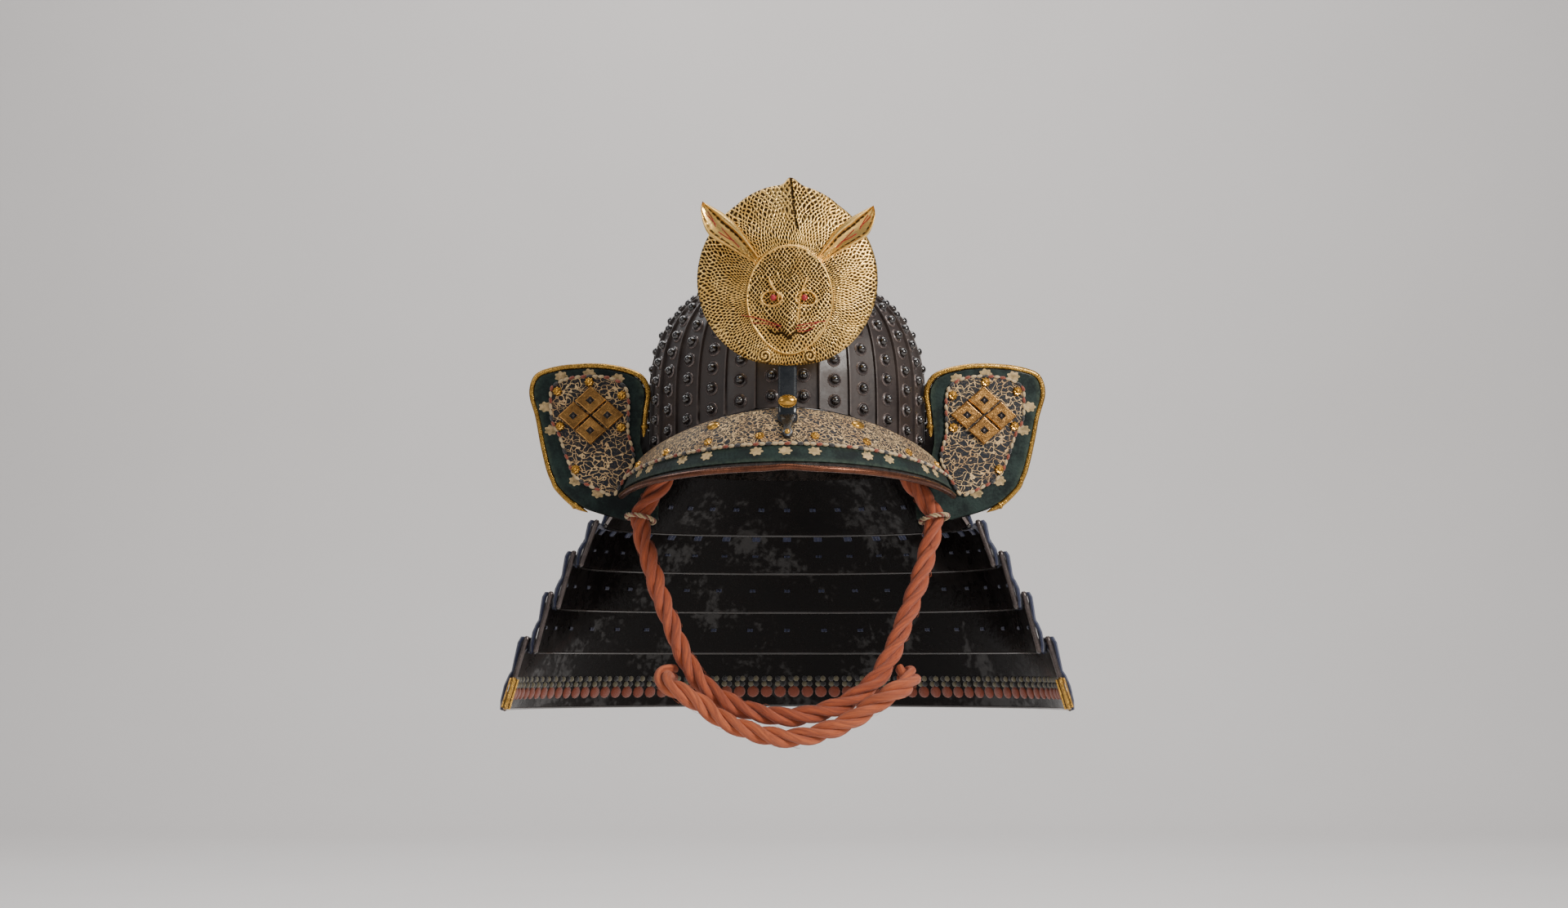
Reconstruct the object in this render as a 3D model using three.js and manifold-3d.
// Kabuto: a riveted 28-plate helmet bowl with a leather-covered visor, a gilt animal crest,
// turned-back plates beside the bowl, a five-lame neck guard and a thick chin cord.
// Millimetres, +Z up. The front of the helmet faces -Y, and "left" and "right" in names are -X and +X,
// as seen by somebody who faces the helmet.
// The origin is the middle of the bowl's opening, at the level of the band round the brow.
import * as THREE from 'three';
import { mergeVertices } from 'three/addons/utils/BufferGeometryUtils.js';
import Module from 'manifold-3d';

const wasm = await Module();
wasm.setup();

const DEGREE = Math.PI / 180;
const GAP = 0.3; // clearance between two pieces that touch

// Bowl: flat-topped, a little deeper than wide, its edge raised over the brow.
const BOWL = {
  halfWidth: 105.5, halfDepth: 116, crown: 136.5, top: 135, wall: 2.5,
  plates: 28, seam: 2.2, edgeSide: -4, edgeRise: 30,
};
const RIVET = { radius: 3.6, height: 4.2, pitch: 16.2, shorten: 0.45, topMargin: 34 };
const BAND = { proud: 1.7, thickness: 4, height: 9 };
const CROWN_RING = { inner: 14, outer: 25.5, base: 137.6, height: 4 };

// Visor: springs from the band and reaches forward and down to its rim.
const VISOR = {
  bandGap: 2.4, rootAngle: 75, rimAngle: 73.4, halfWidth: 130, halfDepth: 160.5,
  rimFront: -19.5, rimFall: 13, rootDrop: 1.5, crownRise: 5, thickness: 2.5,
};
const LEATHER = 1.2; // thickness of every leather cover
const LEATHER_GAP = 0.5; // between a leather cover and the curved plate under it
const VISOR_RIM = { radius: 2.2, reach: 2.7 };
const VISOR_PIPING = { radius: 1.3, height: 0.24 }; // height: share of the way from rim to band
const VISOR_STUD = { count: 8, radius: 3.4, height: 2.4, place: 0.37 };

// Crest and its holder.
const CREST = { radius: 65.5, centre: 116, back: 136, dome: 14, edge: 3, wall: 3.5, ear: 11 };
const CREST_FACE = { halfWidth: 30.6, halfHeight: 38.7, drop: 16.5, depth: 14, seat: 9 };
const CREST_EYE = { radius: 2.6, apart: 11.2, drop: 15.5, seat: 21.6 };
const HOLDER = { width: 13.6, thickness: 3, face: 135.6, top: 122, post: 5 };

// Turned-back plates: upright, curved slightly backward towards their outer edge.
const TURNBACK = { inner: 97, outer: 199, rootFront: 30, sweepBack: 18, thickness: 2.5, rim: 1.9, rimGap: 0.95 };
const DIAMOND = { halfWidth: 11.6, halfHeight: 10.1, hole: 1.9, thickness: 2.4, out: 149, up: 27 };
const TURNBACK_STUD = { radius: 3.8, height: 2.4 };
const STUD_PLACES = [[175, 46], [150.5, 52.6], [125.5, 42], [172.8, 19.4], [126, 17.5], [161, -14]];

// Neck guard: half-widths and half-depths at the upper and lower edge of each lame, their levels,
// and how far the front ends come forward of the middle.
const LAMES = [
  { topWidth: 110, topDepth: 120.5, top: -7, lowWidth: 142, lowDepth: 151, low: -56, topFront: 29, lowFront: 25 },
  { topWidth: 150, topDepth: 158, top: -53.5, lowWidth: 162, lowDepth: 169, low: -87, topFront: 37, lowFront: 37 },
  { topWidth: 167, topDepth: 173, top: -77, lowWidth: 179, lowDepth: 184, low: -119, topFront: 36, lowFront: 36 },
  { topWidth: 184, topDepth: 188, top: -108, lowWidth: 196, lowDepth: 199, low: -153, topFront: 34, lowFront: 34 },
  { topWidth: 202, topDepth: 204, top: -142, lowWidth: 219, lowDepth: 218, low: -197, topFront: 32, lowFront: 32 },
];
const LAME_WALL = 2.5;
const LACE = { columns: 21, width: 8, thickness: 3, start: 0.55 };

const CORD = { radius: 7.5, sides: 8 };
const CORD_LOOP = { radius: 11, thickness: 1.6, out: 111, front: 51.2, level: -53 };

/** A point or a direction. */
function vec(x, y, z) {
  return new THREE.Vector3(x, y, z);
}

/** A closed body from its corners and faces, turned so that its faces point out. */
function closedBody(points, faces) {
  let volume = 0;
  for (const [a, b, c] of faces) {
    volume += points[a].dot(points[b].clone().cross(points[c]));
  }
  const index = volume > 0 ? faces.flat() : faces.flatMap(([a, b, c]) => [a, c, b]);
  const geometry = new THREE.BufferGeometry();
  geometry.setAttribute('position', new THREE.Float32BufferAttribute(points.flatMap((p) => p.toArray()), 3));
  geometry.setIndex(index);
  return geometry;
}

/** A list of corners and faces that grows into a closed body. */
function sketch() {
  const points = [];
  const faces = [];
  return {
    put: (point) => points.push(point) - 1,
    face: (...corners) => corners.slice(2).forEach((c, i) => faces.push([corners[0], corners[i + 1], c])),
    body: () => closedBody(points, faces),
  };
}

/** A body through loops of equally many points. Its ends are closed across, or it runs round in a ring. */
function loft(loops, ring = false) {
  const draft = sketch();
  const rings = loops.map((loop) => loop.map(draft.put));
  const count = loops[0].length;
  const steps = ring ? loops.length : loops.length - 1;
  for (let i = 0; i < steps; i += 1) {
    const [here, next] = [rings[i], rings[(i + 1) % loops.length]];
    for (let j = 0; j < count; j += 1) {
      const k = (j + 1) % count;
      draft.face(here[j], here[k], next[k], next[j]);
    }
  }
  if (!ring) {
    const [first, last] = [rings[0], rings[loops.length - 1]];
    for (let j = 0; j < count / 2 - 1; j += 1) {
      const back = count - 1 - j;
      draft.face(first[back], first[back - 1], first[j + 1], first[j]);
      draft.face(last[j], last[j + 1], last[back - 1], last[back]);
    }
  }
  return draft.body();
}

/** A wall between two grids of points, each a list of columns. */
function wall(outer, inner, ring = false) {
  return loft(outer.map((column, i) => [...column, ...inner[i].slice().reverse()]), ring);
}

/** A grid of columns and rows of place(u, v), with u and v from 0 to 1. A ring leaves out its last column. */
function grid(columns, rows, place, ring = false) {
  const count = ring ? columns : columns + 1;
  return Array.from({ length: count }, (_, i) => (
    Array.from({ length: rows + 1 }, (__, j) => place(i / columns, j / rows))));
}

/** The outward normal of surface(u, v), where u runs towards +X at the front and v runs up. */
function normalAt(surface, u, v) {
  const step = 1e-3;
  const along = surface(u + step, v).sub(surface(u - step, v));
  const up = surface(u, v + step).sub(surface(u, v - step));
  return along.cross(up).normalize();
}

/** surface(u, v) moved out along its normal. */
function proud(surface, u, v, distance) {
  return surface(u, v).addScaledVector(normalAt(surface, u, v), distance);
}

/** A wall on a surface, between two distances along its normal. */
function coat(surface, columns, rows, inside, outside, ring = false) {
  return wall(
    grid(columns, rows, (u, v) => proud(surface, u, v, outside), ring),
    grid(columns, rows, (u, v) => proud(surface, u, v, inside), ring),
    ring,
  );
}

/** A round bar along a curve through the points. */
function tube(points, radius, sides, steps) {
  const corners = Array.from({ length: sides }, (_, i) => {
    const angle = (i / sides) * 2 * Math.PI;
    return new THREE.Vector2(radius * Math.cos(angle), radius * Math.sin(angle));
  });
  return new THREE.ExtrudeGeometry(new THREE.Shape(corners), {
    steps, bevelEnabled: false, extrudePath: new THREE.CatmullRomCurve3(points, false, 'centripetal'),
  });
}

/** A boolean solid from a closed geometry. */
function solid(geometry) {
  const bare = geometry.clone();
  bare.deleteAttribute('normal');
  bare.deleteAttribute('uv');
  const merged = mergeVertices(bare, 1e-4);
  return new wasm.Manifold(new wasm.Mesh({
    numProp: 3,
    vertProperties: new Float32Array(merged.attributes.position.array),
    triVerts: new Uint32Array(merged.index.array),
  }));
}

/** The geometry of a boolean solid. */
function geometryOf(body) {
  const mesh = body.getMesh();
  const geometry = new THREE.BufferGeometry();
  geometry.setAttribute('position', new THREE.BufferAttribute(Float32Array.from(mesh.vertProperties), 3));
  geometry.setIndex(Array.from(mesh.triVerts));
  return geometry;
}

/** A geometry turned so that its +Z points along `normal`, with its +Y kept as upright as can be, and placed. */
function seated(geometry, point, normal) {
  const side = vec(0, 0, 1).cross(normal).normalize();
  const turn = new THREE.Matrix4().makeBasis(side, normal.clone().cross(side), normal);
  return geometry.clone().applyMatrix4(turn.setPosition(point));
}

const helmet = new THREE.Group();

/** Adds a named piece to the helmet. */
function add(name, geometry, color, roughness, metalness = 0) {
  const material = new THREE.MeshStandardMaterial({ color, roughness, metalness, flatShading: true });
  const mesh = new THREE.Mesh(geometry, material);
  mesh.name = name;
  helmet.add(mesh);
  return mesh;
}

const COLOUR = {
  russet: 0x37302f, black: 0x15130f, green: 0x23372d, printed: 0xa89474, copper: 0x96603f, gilt: 0xc89b4a,
  brass: 0xaf7d3c, crest: 0xdcaf5a, red: 0xb83440, lacquer: 0x6a504c, rope: 0xbe6450, indigo: 0x232d4b,
  strap: 0x1d232c, pale: 0xb9bd9a,
};

// ---- Bowl -------------------------------------------------------------------------------------

/** The level of the bowl's edge at an angle from the front. */
function edgeLevel(angle) {
  return BOWL.edgeSide + BOWL.edgeRise * Math.max(0, Math.cos(angle)) ** 2;
}

/** The half-width of the bowl at a level, as a share of its half-width at the edge. */
function bowlNarrowing(level) {
  return Math.sqrt(1 - (Math.max(0, level) / BOWL.crown) ** 4);
}

/** The curve up the bowl's face at an angle from the front, from its edge to its top. */
function meridian(angle) {
  const edge = edgeLevel(angle);
  const steps = Array.from({ length: 21 }, (_, i) => {
    const level = edge + (BOWL.top - edge) * (1 - (1 - i / 20) ** 1.8);
    const narrowing = bowlNarrowing(level);
    const [width, depth] = [BOWL.halfWidth * narrowing, BOWL.halfDepth * narrowing];
    return vec(width * Math.sin(angle), -depth * Math.cos(angle), level);
  });
  return new THREE.CatmullRomCurve3(steps);
}

/** The place on the bowl at an angle and a distance up from the edge, with its two ways and its normal. */
function bowlPlace(angle, distance) {
  const curve = meridian(angle);
  const share = Math.min(distance / curve.getLength(), 1);
  const up = curve.getTangentAt(share);
  const right = vec(Math.cos(angle), Math.sin(angle), 0);
  const normal = right.clone().cross(up).normalize();
  return { point: curve.getPointAt(share), up, right, normal };
}

/** Where the rows of rivets are parted, as distances up from the edge, and how many rows have rivets. */
function rowBorders(angle, rows) {
  const length = meridian(angle).getLength();
  const borders = [0];
  let riveted = 0;
  for (let row = 1; row <= rows; row += 1) {
    const next = borders[row - 1] + RIVET.pitch - RIVET.shorten * row;
    if (riveted === row - 1 && next < length - RIVET.topMargin) {
      borders.push(next);
      riveted = row;
    } else {
      borders.push(borders[row - 1] + (length - borders[row - 1]) / (rows - row + 1));
    }
  }
  return { borders, riveted };
}

/** The corners of one seam of the bowl: up its outside, and up its inside in a few longer steps. */
function bowlSeam(draft, angle, rows) {
  const linings = 4;
  const { borders, riveted } = rowBorders(angle, rows);
  const on = (distance, offset) => {
    const place = bowlPlace(angle, distance);
    return draft.put(place.point.addScaledVector(place.normal, offset));
  };
  const outer = borders.map((distance) => on(distance, BOWL.seam));
  const inner = Array.from({ length: linings + 1 }, (_, j) => on((j / linings) * borders[rows], -BOWL.wall));
  return { angle, borders, riveted, outer, inner };
}

/** A field of a plate that sinks from its corners to a pointed rivet in its middle. */
function rivetField(draft, corners, angle, distance) {
  const { point, up, right, normal } = bowlPlace(angle, distance);
  const half = RIVET.radius * 0.8;
  const foot = [[-1, -1], [1, -1], [1, 1], [-1, 1]].map(([x, y]) => (
    draft.put(point.clone().addScaledVector(right, x * half).addScaledVector(up, y * half))));
  const tip = draft.put(point.clone().addScaledVector(normal, RIVET.height));
  for (let i = 0; i < 4; i += 1) {
    const j = (i + 1) % 4;
    draft.face(corners[i], corners[j], foot[j], foot[i]);
    draft.face(foot[i], foot[j], tip);
  }
}

/** The wall of plates: a raised seam between plates, and a pointed rivet in the middle of each row. */
function bowlShell() {
  const rows = 1 + rowBorders(Math.PI, 40).riveted;
  const draft = sketch();
  const seams = Array.from({ length: BOWL.plates }, (_, k) => (
    bowlSeam(draft, (k / BOWL.plates) * 2 * Math.PI, rows)));
  seams.forEach((here, k) => {
    const next = seams[(k + 1) % BOWL.plates];
    for (let row = 0; row < rows; row += 1) {
      const corners = [here.outer[row], next.outer[row], next.outer[row + 1], here.outer[row + 1]];
      if (row < Math.min(here.riveted, next.riveted)) {
        const middle = [here, next].reduce((sum, { borders }) => sum + borders[row] + borders[row + 1], 0) / 4;
        rivetField(draft, corners, here.angle + Math.PI / BOWL.plates, middle);
      } else {
        draft.face(...corners);
      }
    }
    const top = here.inner.length - 1;
    for (let j = 0; j < top; j += 1) {
      draft.face(here.inner[j + 1], next.inner[j + 1], next.inner[j], here.inner[j]);
    }
    draft.face(here.inner[0], next.inner[0], next.outer[0], here.outer[0]);
    draft.face(here.outer[rows], next.outer[rows], next.inner[top], here.inner[top]);
  });
  return draft.body();
}

function buildBowl() {
  add('bowl', bowlShell(), COLOUR.russet, 0.45, 0.3);
}

function buildCrownRing() {
  const { inner, outer, base, height } = CROWN_RING;
  const profile = [[inner, base], [outer, base], [outer - 3, base + height], [inner, base + height]];
  const points = [...profile, profile[0]].map(([r, z]) => new THREE.Vector2(r, z));
  const ring = new THREE.LatheGeometry(points, 16).rotateX(90 * DEGREE);
  add('crown_ring', ring, COLOUR.black, 0.4, 0.3);
}

/** The outer face of the band under the plates. */
function bandFace(u, v) {
  const angle = u * 2 * Math.PI;
  return vec(
    (BOWL.halfWidth + BAND.proud) * Math.sin(angle),
    -(BOWL.halfDepth + BAND.proud) * Math.cos(angle),
    edgeLevel(angle) - GAP * 1.5 - BAND.height * (1 - v),
  );
}

function buildBand() {
  add('bowl_band', coat(bandFace, BOWL.plates, 1, -BAND.thickness, 0, true), COLOUR.black, 0.35, 0.2);
}

// ---- Visor ------------------------------------------------------------------------------------

/** The visor's upper face: side from -1 to 1 across, share from 0 at the rim to 1 at the band. */
function visorAt(side, share) {
  const rootAngle = side * VISOR.rootAngle * DEGREE;
  const rimAngle = side * VISOR.rimAngle * DEGREE;
  const out = BAND.proud + VISOR.bandGap;
  const root = vec(
    (BOWL.halfWidth + out) * Math.sin(rootAngle),
    -(BOWL.halfDepth + out) * Math.cos(rootAngle),
    edgeLevel(rootAngle) - VISOR.rootDrop,
  );
  const rim = vec(
    VISOR.halfWidth * Math.sin(rimAngle),
    -VISOR.halfDepth * Math.cos(rimAngle),
    VISOR.rimFront - VISOR.rimFall * side ** 2,
  );
  return rim.lerp(root, share).add(vec(0, 0, VISOR.crownRise * 4 * share * (1 - share)));
}

const visorFace = (u, v) => visorAt(2 * u - 1, v);

/** A point above the visor, at a distance from its upper face. */
function overVisor(side, share, distance) {
  return proud(visorFace, (side + 1) / 2, share, distance);
}

function buildVisor() {
  add('visor', coat(visorFace, 20, 2, -VISOR.thickness, 0), COLOUR.black, 0.3, 0.2);
  const cover = (u, v) => visorAt((2 * u - 1) * 0.985, 0.03 + 0.9 * v);
  const leather = coat(cover, 20, 2, LEATHER_GAP, LEATHER_GAP + LEATHER);
  add('visor_leather', leather, COLOUR.printed, 0.8);
  const sides = Array.from({ length: 15 }, (_, i) => i / 7 - 1);
  const rim = sides.map((side) => {
    const outward = visorAt(side, 0).sub(visorAt(side, 0.1)).normalize();
    return visorAt(side, 0).addScaledVector(outward, VISOR_RIM.reach);
  });
  add('visor_rim', tube(rim, VISOR_RIM.radius, 6, 18), COLOUR.copper, 0.35, 0.8);
  const lift = LEATHER_GAP + LEATHER + GAP + VISOR_PIPING.radius;
  const piping = sides.map((side) => overVisor(side * 0.975, VISOR_PIPING.height, lift));
  add('visor_piping', tube(piping, VISOR_PIPING.radius, 5, 18), COLOUR.pale, 0.7);
}

function buildVisorStuds() {
  const { count, radius, height, place } = VISOR_STUD;
  const lift = LEATHER_GAP + LEATHER + height / 2;
  for (let i = 0; i < count; i += 1) {
    const side = ((i + 0.5) / count) * 2 - 1;
    const stud = new THREE.CylinderGeometry(radius * 0.45, radius, height, 6).rotateX(90 * DEGREE);
    const normal = normalAt(visorFace, (side + 1) / 2, place);
    add(`visor_stud_${i + 1}`, seated(stud, overVisor(side, place, lift), normal), COLOUR.gilt, 0.3, 0.9);
  }
}

// ---- Crest ------------------------------------------------------------------------------------

/** A geometry built facing +Z, with +Y up, set facing the front around the crest's middle. */
function facingFront(geometry) {
  return geometry.rotateX(90 * DEGREE).translate(0, -CREST.back, CREST.centre);
}

/** The turned shape between the axis and a profile of [share of the radius, height] rows. */
function turned(rows, segments) {
  const profile = rows.map(([share, height]) => new THREE.Vector2(CREST.radius * share, height));
  return new THREE.LatheGeometry(profile, segments).rotateX(90 * DEGREE);
}

/** The convex disc, still solid. */
function crestDisc() {
  const { edge, dome } = CREST;
  const face = [1, 0.8, 0.45, 0].map((share) => [share, edge + dome * (1 - share ** 2.2)]);
  return turned([[0, 0], [1, 0], ...face], 24);
}

/** The hollow behind the disc, with a flat seat in its middle for the holder's post. */
function crestHollow() {
  const { edge, dome, wall: thickness } = CREST;
  const seat = edge + dome - thickness;
  return turned([[0, -20], [0.93, -20], [0.93, 0.2], [0.6, seat * 0.62], [0.14, seat], [0, seat]], 20);
}

// An ear's outline and the peak's, from the disc's middle.
const EAR = [[63, 55], [48, 48.5], [33, 35], [22, 17], [34, 11], [50, 20], [60, 31]];
const PEAK = [[-13, 60], [18, 60], [2, 75]];

/** One ear: a pointed leaf, standing off the disc. Side is -1 or 1. */
function crestEar(side) {
  const shape = new THREE.Shape(EAR.map(([x, y]) => new THREE.Vector2(side * x, y)));
  return new THREE.ExtrudeGeometry(shape, { depth: CREST.ear, bevelEnabled: false }).translate(0, 0, 2);
}

/** The small peak at the top of the disc, with a ridge down to the brow. */
function crestPeak() {
  const peak = new THREE.Shape(PEAK.map(([x, y]) => new THREE.Vector2(x, y)));
  const blade = new THREE.ExtrudeGeometry(peak, { depth: 7, bevelEnabled: false }).translate(0, 0, 0.5);
  const ridge = new THREE.ConeGeometry(5, 40, 4).translate(3, 52, 0).scale(1, 1, 1.2);
  return [blade, ridge.translate(0, 0, 6)];
}

/** The raised face: brow ridges, nose ridges and muzzle on an oval. */
function crestFace() {
  const { halfWidth, halfHeight, drop, depth, seat } = CREST_FACE;
  const parts = [];
  const blob = (x, y, z, rx, ry, rz, tilt = 0) => {
    const ball = new THREE.SphereGeometry(1, 8, 5).scale(rx, ry, rz);
    parts.push(ball.rotateZ(tilt * DEGREE).translate(x, y, z));
  };
  const oval = new THREE.SphereGeometry(1, 14, 6).rotateX(90 * DEGREE);
  parts.push(oval.scale(halfWidth, halfHeight, depth).translate(1, -drop, seat));
  blob(1, -drop - 25, seat + 9, 14, 13, 9);
  for (const side of [-1, 1]) {
    blob(1 + side * 13, -drop + 9, seat + 10, 12, 3.2, 4.5, side * 22);
    blob(1 + side * 4.5, -drop - 4, seat + 11.5, 2.6, 17, 5, side * -6);
  }
  return parts;
}

function buildCrest() {
  let body = solid(facingFront(crestDisc()));
  for (const part of [crestEar(-1), crestEar(1), ...crestPeak(), ...crestFace()]) {
    body = body.add(solid(facingFront(part)));
  }
  body = body.subtract(solid(facingFront(crestHollow())));
  for (const [side, label] of [[-1, 'left'], [1, 'right']]) {
    const at = [1 + side * CREST_EYE.apart, -CREST_EYE.drop, CREST_EYE.seat];
    const ball = (radius) => facingFront(new THREE.SphereGeometry(radius, 6, 5).translate(...at));
    body = body.subtract(solid(ball(CREST_EYE.radius + GAP)));
    add(`crest_eye_${label}`, ball(CREST_EYE.radius), COLOUR.red, 0.3);
  }
  add('crest', geometryOf(body), COLOUR.crest, 0.45, 0.7);
}

/** The strap that carries the crest: a foot down the visor, a straight strap up, a post to the disc. */
function buildHolder() {
  const { width, thickness, face, top } = HOLDER;
  const lift = LEATHER_GAP + LEATHER + GAP;
  const footing = [
    { share: 0.34, width: 4.5 }, { share: 0.38, width: 8.4 }, { share: 0.44, width: 6 },
    { share: 0.55, width: 8 }, { share: 0.6, width: 14 }, { share: 0.66, width: width + 1.5 },
  ];
  const bar = (half, low, high) => [
    vec(-half, low.y, low.z), vec(half, low.y, low.z), vec(half, high.y, high.z), vec(-half, high.y, high.z),
  ];
  const loops = footing.map((row) => (
    bar(row.width / 2, overVisor(0, row.share, lift), overVisor(0, row.share, lift + thickness))));
  for (const level of [23, top]) {
    loops.push(bar(width / 2, vec(0, thickness - face, level), vec(0, -face, level)));
  }
  const seat = CREST.back + CREST.edge + CREST.dome - CREST.wall - GAP;
  const root = face - 1;
  const post = new THREE.CylinderGeometry(HOLDER.post, HOLDER.post, seat - root, 10);
  post.translate(0, -(seat + root) / 2, CREST.centre);
  add('crest_holder', geometryOf(solid(loft(loops)).add(solid(post))), COLOUR.strap, 0.3, 0.2);
  const stud = new THREE.CylinderGeometry(2.6, 6, 2.6, 10).rotateX(90 * DEGREE).scale(1, 0.65, 1);
  add('crest_holder_stud', seated(stud, vec(0, -face - GAP - 1.3, 28), vec(0, -1, 0)), COLOUR.gilt, 0.3, 0.9);
}

// ---- Turned-back plates -----------------------------------------------------------------------

// The plate's outline at each level: its edge towards the bowl and its outer edge.
const PLATE_OUTLINE = [
  { up: -53, inner: 98, outer: 126 },
  { up: -45, inner: 97.5, outer: 152 },
  { up: -38, inner: 97.5, outer: 164 },
  { up: -27, inner: 98, outer: 175 },
  { up: -21, inner: 100, outer: 178 },
  { up: -12, inner: 107, outer: 181.5 },
  { up: 7, inner: 111.5, outer: 186 },
  { up: 28, inner: 110, outer: 190 },
  { up: 44, inner: 108, outer: 194.5 },
  { up: 54, inner: 112, outer: 193 },
  { up: 59, inner: 121, outer: 188 },
  { up: 62.5, inner: 136, outer: 173 },
  { up: 63.5, inner: 148, outer: 158 },
];
const PANEL_OUTLINE = [
  { up: -34, inner: 131.5, outer: 134 },
  { up: -21, inner: 124, outer: 159 },
  { up: -6, inner: 117, outer: 167 },
  { up: 13, inner: 121, outer: 173.5 },
  { up: 24, inner: 121, outer: 179 },
  { up: 40, inner: 121, outer: 180 },
  { up: 50, inner: 125, outer: 178 },
  { up: 56, inner: 139, outer: 163 },
];

/** A point on a turned-back plate: out from the middle, up, and ahead of the plate's middle surface. */
function onPlate(side, out, up, ahead) {
  const reach = (out - TURNBACK.inner) / (TURNBACK.outer - TURNBACK.inner);
  const bend = Math.max(reach, 0) ** 1.5;
  const slope = (1.5 * TURNBACK.sweepBack * Math.sqrt(Math.max(reach, 0))) / (TURNBACK.outer - TURNBACK.inner);
  const scale = ahead / Math.hypot(1, slope);
  return vec(
    side * (out + slope * scale),
    -TURNBACK.rootFront + TURNBACK.sweepBack * bend - scale,
    up,
  );
}

/** The way a turned-back plate faces at a distance out from the middle. */
function plateNormal(side, out) {
  return onPlate(side, out, 0, 1).sub(onPlate(side, out, 0, 0)).normalize();
}

/** A sheet within an outline of a turned-back plate, between two distances ahead of its middle surface. */
function plateSheet(side, outline, inset, back, front, columns) {
  const rows = outline.length - 1;
  const first = outline[0].up + inset;
  const height = outline[rows].up - inset - first;
  const level = (v) => first + height * ((outline[Math.round(v * rows)].up - outline[0].up)
    / (outline[rows].up - outline[0].up));
  const place = (ahead) => (u, v) => {
    const row = outline[Math.round(v * rows)];
    const out = THREE.MathUtils.lerp(row.inner + inset, Math.max(row.outer - inset, row.inner + inset + 0.5), u);
    return onPlate(side, out, level(v), ahead);
  };
  return wall(grid(columns, rows, place(front)), grid(columns, rows, place(back)));
}

/** The line of the gilt rim, from its lower finial out, over the top and down the inner edge. */
function rimLine(side) {
  const away = TURNBACK.rim + TURNBACK.rimGap;
  const edge = [
    ...PLATE_OUTLINE.slice(1).map((row) => [row.outer, row.up]),
    ...PLATE_OUTLINE.slice(6).reverse().map((row) => [row.inner, row.up]),
  ];
  return edge.map(([out, up], i) => {
    const [a, b] = [edge[Math.max(i - 1, 0)], edge[Math.min(i + 1, edge.length - 1)]];
    const [along, rise] = [b[0] - a[0], b[1] - a[1]];
    const size = Math.hypot(along, rise);
    return onPlate(side, out + (rise / size) * away, up - (along / size) * away, 0);
  });
}

function buildTurnback(side, label) {
  const skin = TURNBACK.thickness / 2 + LEATHER_GAP;
  const leather = plateSheet(side, PLATE_OUTLINE, 0.6, skin, skin + LEATHER, 3);
  add(`turnback_leather_${label}`, leather, COLOUR.green, 0.8);
  const over = skin + LEATHER + GAP;
  const panel = plateSheet(side, PANEL_OUTLINE, 0, over, over + LEATHER, 3);
  add(`turnback_panel_${label}`, panel, COLOUR.printed, 0.8);
  add(`turnback_rim_${label}`, tube(rimLine(side), TURNBACK.rim, 5, 25), COLOUR.gilt, 0.35, 0.8);
  buildDiamonds(side, label, over + LEATHER + GAP);
  buildTurnbackStuds(side, label, over + LEATHER + GAP);
}

/** The four brass diamonds, each with a small square hole. */
function buildDiamonds(side, label, ahead) {
  const { halfWidth, halfHeight, hole, thickness, out, up } = DIAMOND;
  const rhombus = (w, h) => [[w, 0], [0, h], [-w, 0], [0, -h]].map(([x, y]) => new THREE.Vector2(x, y));
  const shape = new THREE.Shape(rhombus(halfWidth, halfHeight));
  shape.holes.push(new THREE.Path(rhombus(hole, hole).reverse()));
  const places = { top: [0, 1], bottom: [0, -1], near: [-1, 0], far: [1, 0] };
  for (const [name, [right, high]] of Object.entries(places)) {
    const diamond = new THREE.ExtrudeGeometry(shape, { depth: thickness, bevelEnabled: false });
    const at = onPlate(side, out + right * (halfWidth + 0.6), up + high * (halfHeight + 0.6), ahead + 0.15);
    const normal = plateNormal(side, out + right * halfWidth);
    add(`turnback_diamond_${label}_${name}`, seated(diamond, at, normal), COLOUR.brass, 0.45, 0.9);
  }
}

function buildTurnbackStuds(side, label, ahead) {
  const { radius, height } = TURNBACK_STUD;
  STUD_PLACES.forEach(([out, up], i) => {
    const stud = new THREE.CylinderGeometry(radius * 0.45, radius, height, 6).rotateX(90 * DEGREE);
    const at = onPlate(side, out, up, ahead + height / 2 + 0.05);
    const name = `turnback_stud_${label}_${i + 1}`;
    add(name, seated(stud, at, plateNormal(side, out)), COLOUR.gilt, 0.3, 0.9);
  });
}

// ---- Neck guard -------------------------------------------------------------------------------

/** The outer face of a lame: u from the right front end round the back to the left one, v up. */
function lameFace(lame) {
  return (u, v) => {
    const width = THREE.MathUtils.lerp(lame.lowWidth, lame.topWidth, v);
    const depth = THREE.MathUtils.lerp(lame.lowDepth, lame.topDepth, v);
    const level = THREE.MathUtils.lerp(lame.low, lame.top, v);
    const first = Math.acos(THREE.MathUtils.lerp(lame.lowFront, lame.topFront, v) / depth);
    const angle = first + u * 2 * (Math.PI - first);
    return vec(width * Math.sin(angle), -depth * Math.cos(angle), level);
  };
}

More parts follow.
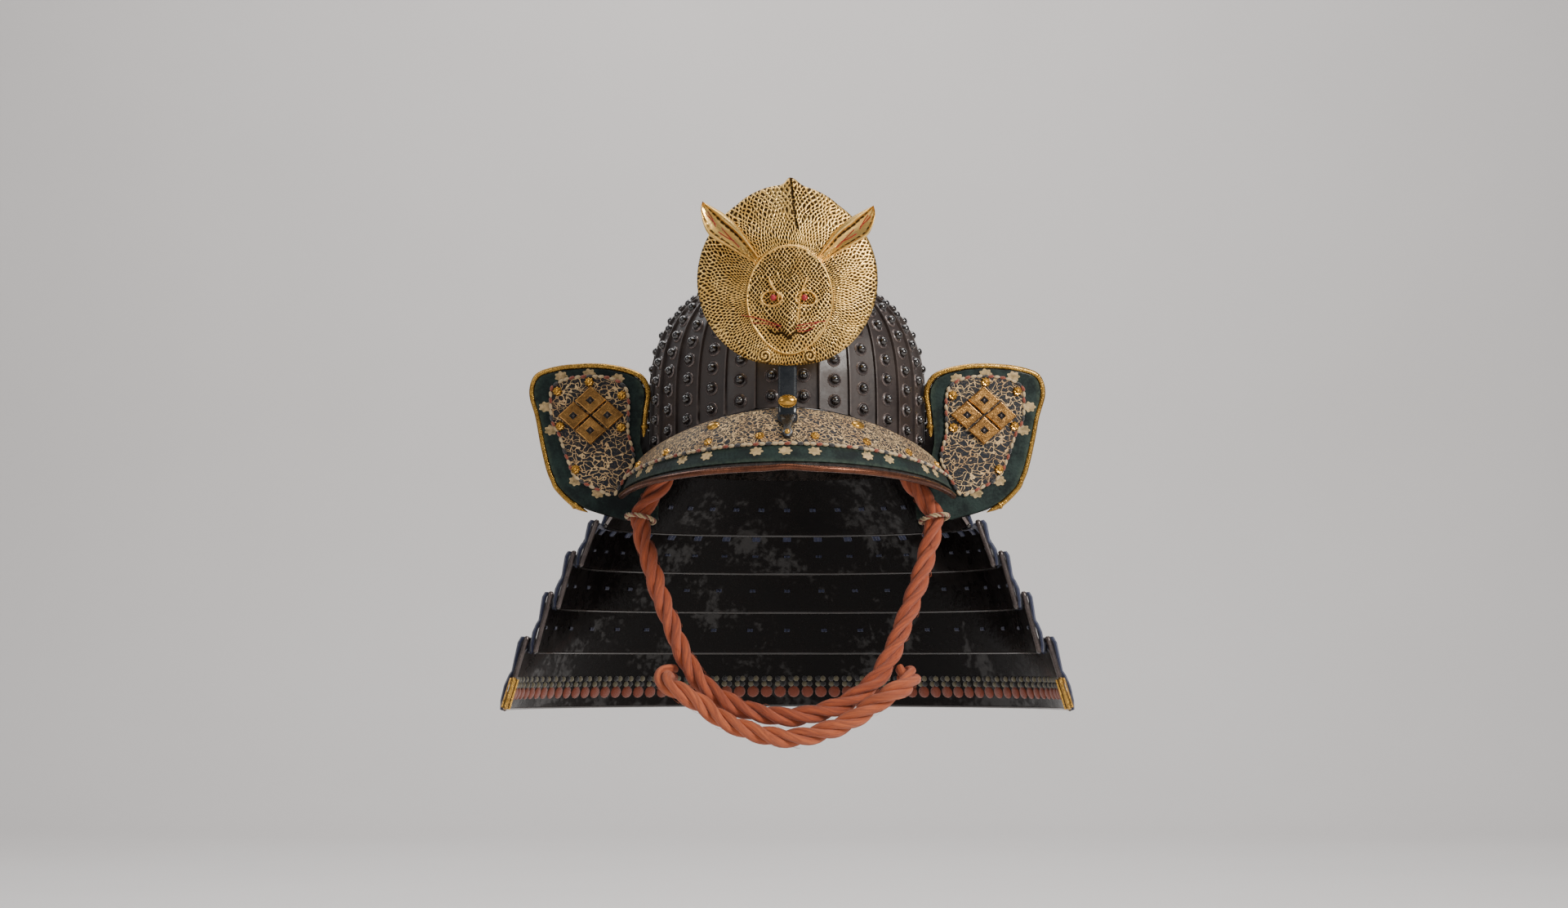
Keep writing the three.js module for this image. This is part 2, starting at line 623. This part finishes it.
/** A lame with its lacing: pairs of cords that come out of it and stand off its lower edge. */
function lacedLame(lame) {
  const face = lameFace(lame);
  const half = LACE.width / 2 / (Math.PI * lame.lowWidth);
  const draft = sketch();
  const on = (u, v, height = 0) => draft.put(proud(face, u, v, height));
  const edges = Array.from({ length: LACE.columns + 1 }, (_, i) => {
    const u = i / LACE.columns;
    return { low: on(u, 0), top: on(u, 1), lowIn: on(u, 0, -LAME_WALL), topIn: on(u, 1, -LAME_WALL) };
  });
  edges.slice(1).forEach((next, i) => {
    const here = edges[i];
    const u = (i + 0.5) / LACE.columns;
    const [footLeft, footRight] = [on(u - half, 0), on(u + half, 0)];
    const [headLeft, headRight] = [on(u - half, LACE.start), on(u + half, LACE.start)];
    const [endLeft, endRight] = [on(u - half, 0, LACE.thickness), on(u + half, 0, LACE.thickness)];
    draft.face(here.low, footLeft, headLeft, here.top);
    draft.face(headLeft, headRight, next.top, here.top);
    draft.face(next.low, next.top, headRight, footRight);
    draft.face(headLeft, endLeft, endRight, headRight);
    draft.face(headLeft, footLeft, endLeft);
    draft.face(headRight, endRight, footRight);
    draft.face(footLeft, footRight, endRight, endLeft);
    draft.face(here.lowIn, footLeft, here.low);
    draft.face(here.lowIn, footRight, footLeft);
    draft.face(here.lowIn, next.lowIn, next.low, footRight);
    draft.face(here.topIn, next.topIn, next.lowIn, here.lowIn);
    draft.face(here.top, next.top, next.topIn, here.topIn);
  });
  const [first, last] = [edges[0], edges[LACE.columns]];
  draft.face(first.top, first.topIn, first.lowIn, first.low);
  draft.face(last.low, last.lowIn, last.topIn, last.top);
  return draft.body();
}

function buildNeckGuard() {
  LAMES.forEach((lame, i) => {
    const laced = i < LAMES.length - 1;
    let body = solid(laced ? lacedLame(lame) : coat(lameFace(lame), LACE.columns, 1, -LAME_WALL, 0));
    if (i === 0) {
      for (const side of [-1, 1]) {
        const half = TURNBACK.thickness / 2;
        body = body.add(solid(plateSheet(side, PLATE_OUTLINE, 0, -half, half, 3)));
      }
    }
    add(`neck_lame_${i + 1}`, geometryOf(body), COLOUR.lacquer, 0.3, 0.2);
  });
}

/** A gilt clip round the lower front corner of the last lame. */
function buildCorner(side, label) {
  const lame = LAMES[LAMES.length - 1];
  const face = lameFace(lame);
  const clip = 1.4;
  const depth = 0.022; // share of the lame's length that the clip covers
  const gap = 2 * LEATHER_GAP;
  const outer = gap + clip;
  const inner = -LAME_WALL - gap - clip;
  const at = (u, v, distance) => {
    const point = proud(face, u, v, distance);
    return side > 0 ? point : vec(-point.x, point.y, point.z);
  };
  const loops = [0.02, 0.22, 0.42].map((v) => [
    at(depth, v, outer), at(-0.003, v, outer), at(-0.003, v, inner), at(depth, v, inner),
    at(depth, v, inner + clip), at(-0.001, v, inner + clip), at(-0.001, v, gap), at(depth, v, gap),
  ]);
  add(`corner_fitting_${label}`, loft(loops), COLOUR.gilt, 0.35, 0.9);
}

// ---- Chin cord --------------------------------------------------------------------------------

// One side of the main strand, from under the band to under the chin.
const CORD_SIDE = [
  [89, -53, -9.5], [90, -53.5, -18], [97, -54, -30], [106, -52, -41], [111, -51, -52], [109.5, -54, -65],
  [105, -59, -81], [97, -67, -106], [88, -75, -130], [78, -82.5, -154], [65, -89, -175], [44, -94, -191],
  [22, -97, -199],
];
const CORD_LOWEST = [0, -98, -202];
const TAIL_ROUTE = [
  [-63, -102, -193.2], [-50, -102.5, -202.6], [-36, -103.5, -209.4], [-18, -105, -215.1], [0, -105.6, -217.2],
  [18, -105, -215.1], [36, -103.5, -209.4], [50, -102.5, -202.6], [63, -102, -193.2],
];
const TURN_ROUTE = [
  [64.5, -101.5, -191.6], [76, -104, -185], [88, -99, -178], [92, -88, -172], [86, -77, -169],
];

function buildCord() {
  const right = CORD_SIDE.map(([x, y, z]) => vec(x, y, z));
  const left = CORD_SIDE.map(([x, y, z]) => vec(-x, y, z));
  const route = [...left, vec(...CORD_LOWEST), ...right.reverse()];
  add('chin_cord', tube(route, CORD.radius, CORD.sides, 24), COLOUR.rope, 0.9);
  const tail = TAIL_ROUTE.map((point) => vec(...point));
  add('chin_cord_tail', tube(tail, CORD.radius, CORD.sides, 6), COLOUR.rope, 0.9);
  for (const [side, label] of [[-1, 'left'], [1, 'right']]) {
    const turn = TURN_ROUTE.map(([x, y, z]) => vec(side * x, y, z));
    add(`chin_turn_${label}`, tube(turn, CORD.radius - 0.5, CORD.sides, 4), COLOUR.rope, 0.9);
    const loop = new THREE.TorusGeometry(CORD_LOOP.radius, CORD_LOOP.thickness, 4, 12);
    const along = vec(side * 0.2, -0.2, -1).normalize();
    const seat = new THREE.Matrix4().lookAt(vec(0, 0, 0), along, vec(0, 1, 0));
    seat.setPosition(side * CORD_LOOP.out, -CORD_LOOP.front, CORD_LOOP.level);
    add(`cord_loop_${label}`, loop.applyMatrix4(seat), COLOUR.pale, 0.9);
  }
}

buildBowl();
buildCrownRing();
buildBand();
buildVisor();
buildVisorStuds();
buildCrest();
buildHolder();
buildNeckGuard();
for (const [side, label] of [[-1, 'left'], [1, 'right']]) {
  buildTurnback(side, label);
  buildCorner(side, label);
}
buildCord();

export default helmet;
